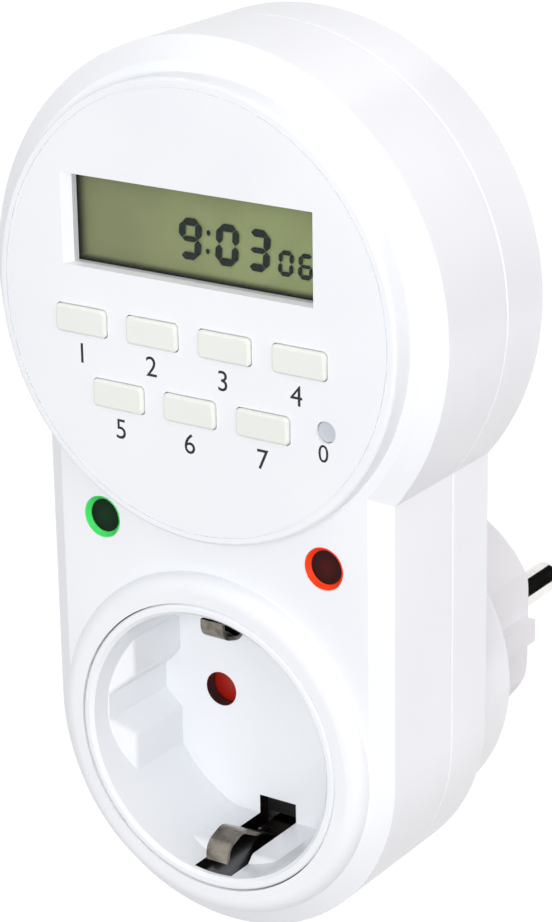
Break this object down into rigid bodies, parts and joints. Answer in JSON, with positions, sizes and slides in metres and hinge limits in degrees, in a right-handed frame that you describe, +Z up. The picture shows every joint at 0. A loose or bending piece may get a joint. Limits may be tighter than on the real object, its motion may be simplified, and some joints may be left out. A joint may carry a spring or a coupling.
{
  "type": "plug in timer switch",
  "caption": "Plug-in mains timer: round head with a digital display and push buttons above a recessed socket outlet, with a two-pin earthed plug behind.",
  "frame": {"origin": "middle of the plug's pin face, on the axis that the plug and the socket recess share", "axes": "+Z up along the body to the round head, +Y along the plug pins towards the wall, and the face with the buttons looks along -Y"},
  "size_m": [0.072, 0.0821, 0.1265],
  "materials": {
    "case_plastic": "glossy moulded, cool white",
    "plug_plastic": "glossy moulded, cool white",
    "inner_plastic": "satin moulded",
    "button_plastic": "satin moulded, off-white",
    "reset_plastic": "satin moulded, grey",
    "window_clear": "clear, polished",
    "lcd_glass": "olive reflective liquid crystal cell",
    "contact_rubber": "soft layered strip",
    "mat_rubber": "soft moulded silicone",
    "board_green": "solder resist",
    "board_brown": "bare laminate",
    "black_plastic": "moulded",
    "relay_plastic": "moulded case",
    "film_plastic": "cast case",
    "can_sleeve": "shrunk sleeve",
    "varistor_blue": "dipped coating",
    "resistor_plastic": "coated",
    "screw_steel": "zinc plated",
    "tinned_steel": "tinned",
    "spring_steel": "drawn wire",
    "contact_brass": "rolled sheet",
    "earth_metal": "nickel plated sheet",
    "pin_metal": "nickel plated, turned",
    "green_lens": "translucent moulded",
    "red_lens": "translucent moulded",
    "green_lamp_resin": "cast resin",
    "red_lamp_resin": "cast resin",
    "shutter_red": "moulded",
    "lead_brown": "insulated wire",
    "lead_blue": "insulated wire"
  },
  "bodies": {
    "housing": {"front_shell": "case_plastic", "rear_shell": "case_plastic", "case_screws": "screw_steel", "display_panel": "case_plastic", "display_lens": "window_clear", "lcd_panel": "lcd_glass", "lcd_holder": "inner_plastic", "zebra_strip": "contact_rubber", "reset_switch": "black_plastic", "key_mat": "mat_rubber", "control_board": "board_green", "controller_chip": "black_plastic", "crystal": "tinned_steel", "board_header": "black_plastic", "board_screws": "screw_steel", "power_board": "board_brown", "board_pillars": "inner_plastic", "relay": "relay_plastic", "dropper_capacitor": "film_plastic", "smoothing_capacitor": "can_sleeve", "backup_cell": "tinned_steel", "cell_tabs": "tinned_steel", "varistor": "varistor_blue", "fusible_resistor": "resistor_plastic", "rectifier_diodes": "black_plastic", "green_indicator_lens": "green_lens", "green_lamp": "green_lamp_resin", "red_indicator_lens": "red_lens", "red_lamp": "red_lamp_resin", "socket_insert": "case_plastic", "shutter_spring": "spring_steel", "contact_carrier": "black_plastic", "line_contact": "contact_brass", "neutral_contact": "contact_brass", "socket_earth_strap": "earth_metal", "plug_earth_strap": "earth_metal", "earth_rivet": "contact_brass", "plug_body": "plug_plastic", "line_pin": "pin_metal", "neutral_pin": "pin_metal", "line_lead": "lead_brown", "switched_lead": "lead_brown", "neutral_lead": "lead_blue", "neutral_socket_lead": "lead_blue"},
    "button_1": {"button_1": "button_plastic"},
    "button_2": {"button_2": "button_plastic"},
    "button_3": {"button_3": "button_plastic"},
    "button_4": {"button_4": "button_plastic"},
    "button_5": {"button_5": "button_plastic"},
    "button_6": {"button_6": "button_plastic"},
    "button_7": {"button_7": "button_plastic"},
    "reset_button": {"reset_button": "reset_plastic"},
    "shutter": {"shutter": "shutter_red"}
  },
  "joints": [
    {"name": "button_1_press", "type": "slide", "parent": "housing", "child": "button_1", "axis": [0, 1, 0], "range_m": [0, 0.0006], "stiffness_N_per_m": 400, "springref_m": -0.001},
    {"name": "button_2_press", "type": "slide", "parent": "housing", "child": "button_2", "axis": [0, 1, 0], "range_m": [0, 0.0006], "stiffness_N_per_m": 400, "springref_m": -0.001},
    {"name": "button_3_press", "type": "slide", "parent": "housing", "child": "button_3", "axis": [0, 1, 0], "range_m": [0, 0.0006], "stiffness_N_per_m": 400, "springref_m": -0.001},
    {"name": "button_4_press", "type": "slide", "parent": "housing", "child": "button_4", "axis": [0, 1, 0], "range_m": [0, 0.0006], "stiffness_N_per_m": 400, "springref_m": -0.001},
    {"name": "button_5_press", "type": "slide", "parent": "housing", "child": "button_5", "axis": [0, 1, 0], "range_m": [0, 0.0006], "stiffness_N_per_m": 400, "springref_m": -0.001},
    {"name": "button_6_press", "type": "slide", "parent": "housing", "child": "button_6", "axis": [0, 1, 0], "range_m": [0, 0.0006], "stiffness_N_per_m": 400, "springref_m": -0.001},
    {"name": "button_7_press", "type": "slide", "parent": "housing", "child": "button_7", "axis": [0, 1, 0], "range_m": [0, 0.0006], "stiffness_N_per_m": 400, "springref_m": -0.001},
    {"name": "reset_press", "type": "slide", "parent": "housing", "child": "reset_button", "axis": [0, 1, 0], "range_m": [0, 0.0004], "stiffness_N_per_m": 400, "springref_m": -0.001},
    {"name": "shutter_turn", "type": "hinge", "parent": "housing", "child": "shutter", "pos_m": [0, -0.041, 0], "axis": [0, 1, 0], "range_deg": [0, 38], "stiffness_Nm_per_rad": 0.01, "springref_deg": -17.19}
  ]
}
